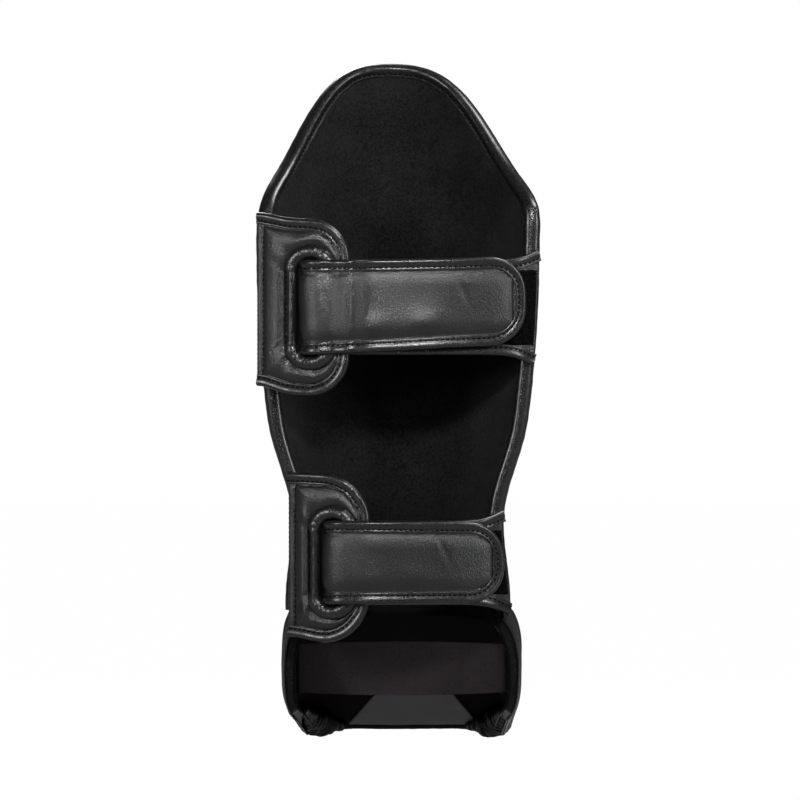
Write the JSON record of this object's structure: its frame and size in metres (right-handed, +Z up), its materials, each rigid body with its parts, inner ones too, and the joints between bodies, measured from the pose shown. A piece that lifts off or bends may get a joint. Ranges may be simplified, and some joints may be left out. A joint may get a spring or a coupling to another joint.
{
  "type": "shin and instep guard",
  "caption": "Padded shin and instep guard with a domed shell, slotted flaps and hook-and-loop straps behind the leg, a hinged foot pad and an elastic band under the foot.",
  "frame": {"origin": "on the leg axis at the level of the sole", "axes": "+Z up the leg, +Y towards the toes, so the open back faces -Y; +X to the right seen from behind"},
  "size_m": [0.1768, 0.2168, 0.4218],
  "materials": {
    "leather": "satin",
    "lining": "matte",
    "foam": "matte",
    "edge_tape": "satin",
    "pile": "matte",
    "elastic": "matte"
  },
  "bodies": {
    "shin": {"shin_liner": "lining", "shin_comfort_foam": "foam", "shin_impact_foam": "foam", "shin_cover": "leather", "shin_binding": "edge_tape", "upper_strap_base": "leather", "upper_base_binding": "edge_tape", "upper_loop_panel": "pile", "lower_strap_base": "leather", "lower_base_binding": "edge_tape", "lower_loop_panel": "pile", "ankle_gusset": "leather"},
    "upper_flap": {"upper_flap_backing": "lining", "upper_flap_foam": "foam", "upper_flap_face": "leather", "upper_flap_binding": "edge_tape", "upper_slot_rim": "edge_tape", "upper_flap_piping": "edge_tape", "upper_strap_fold": "leather"},
    "lower_flap": {"lower_flap_backing": "lining", "lower_flap_foam": "foam", "lower_flap_face": "leather", "lower_flap_binding": "edge_tape", "lower_slot_rim": "edge_tape", "lower_flap_piping": "edge_tape", "lower_strap_fold": "leather"},
    "upper_tail": {"upper_strap_tail": "leather", "upper_tail_binding": "edge_tape", "upper_hook_patch": "pile"},
    "lower_tail": {"lower_strap_tail": "leather", "lower_tail_binding": "edge_tape", "lower_hook_patch": "pile"},
    "instep": {"instep_liner": "lining", "instep_foam": "foam", "instep_cover": "leather", "instep_binding": "edge_tape", "sole_elastic": "elastic", "elastic_tabs": "leather"}
  },
  "joints": [
    {"name": "ankle_flex", "type": "hinge", "parent": "shin", "child": "instep", "pos_m": [0, 0.0285, 0.079], "axis": [1, 0, 0], "range_deg": [-10, 20], "stiffness_Nm_per_rad": 3, "deforming": ["ankle_gusset"]},
    {"name": "upper_flap_swing", "type": "hinge", "parent": "shin", "child": "upper_flap", "pos_m": [-0.08644, -0.03968, 0.265], "axis": [0, 0, -1], "range_deg": [0, 30], "stiffness_Nm_per_rad": 0.15},
    {"name": "lower_flap_swing", "type": "hinge", "parent": "shin", "child": "lower_flap", "pos_m": [-0.0667, -0.03984, 0.11], "axis": [0, 0, -1], "range_deg": [0, 30], "stiffness_Nm_per_rad": 0.15},
    {"name": "upper_strap_peel", "type": "hinge", "parent": "upper_flap", "child": "upper_tail", "pos_m": [-0.05637, -0.06429, 0.265], "axis": [0, 0, -1], "range_deg": [0, 160]},
    {"name": "lower_strap_peel", "type": "hinge", "parent": "lower_flap", "child": "lower_tail", "pos_m": [-0.04179, -0.06565, 0.107], "axis": [0, 0, -1], "range_deg": [0, 160]}
  ]
}
